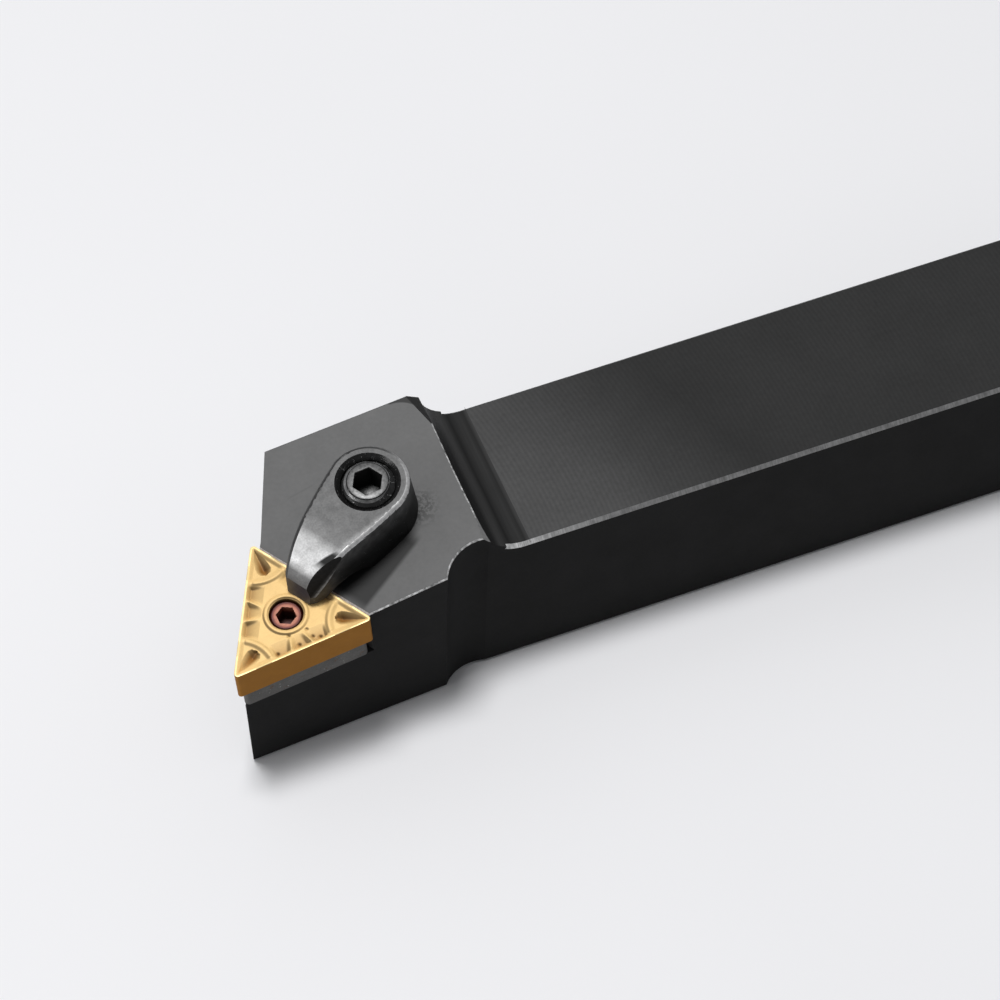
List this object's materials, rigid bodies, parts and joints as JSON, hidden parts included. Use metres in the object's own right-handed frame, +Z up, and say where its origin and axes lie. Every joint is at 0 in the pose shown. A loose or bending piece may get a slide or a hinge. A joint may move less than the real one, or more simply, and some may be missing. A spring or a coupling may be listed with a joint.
{
  "type": "turning tool holder",
  "caption": "Square-shank external turning tool holder with a triangular indexable insert held by a pin and a screw-driven finger clamp.",
  "frame": {"origin": "on the flat underside of the square shank, halfway along the whole tool and halfway across the shank", "axes": "+X from the cutting end to the rear end of the shank, +Y away from the cutting edge, +Z up out of the toolpost seat; the insert's main cutting edge faces -Y"},
  "size_m": [0.1247, 0.025, 0.0299],
  "materials": {
    "body_steel": "dark blackened and lightly ground steel, satin, with bright edges",
    "clamp_steel": "satin grey steel, polished towards the nose",
    "screw_steel": "bright turned end, dark oiled thread",
    "pin_steel": "copper-toned hardened steel",
    "shim_carbide": "dull dark grey sintered carbide",
    "insert_coating": "satin gold titanium nitride coating"
  },
  "bodies": {
    "holder": {"holder_body": "body_steel", "shim": "shim_carbide", "insert": "insert_coating", "lock_pin": "pin_steel"},
    "clamp": {"clamp": "clamp_steel"},
    "clamp_screw": {"clamp_screw": "screw_steel"}
  },
  "joints": [
    {"name": "clamp_lift", "type": "slide", "parent": "holder", "child": "clamp", "axis": [-0.0811, -0.1085, 0.9908], "range_m": [0, 0.003]},
    {"name": "screw_turn", "type": "hinge", "parent": "clamp", "child": "clamp_screw", "pos_m": [-0.04159, -0.00162, 0.02318], "axis": [-0.0811, -0.1085, 0.9908], "range_deg": [0, 540]}
  ],
  "couplings": [
    {"joint": "screw_turn", "follows": "clamp_lift", "rad_per_m": 3141.6}
  ]
}
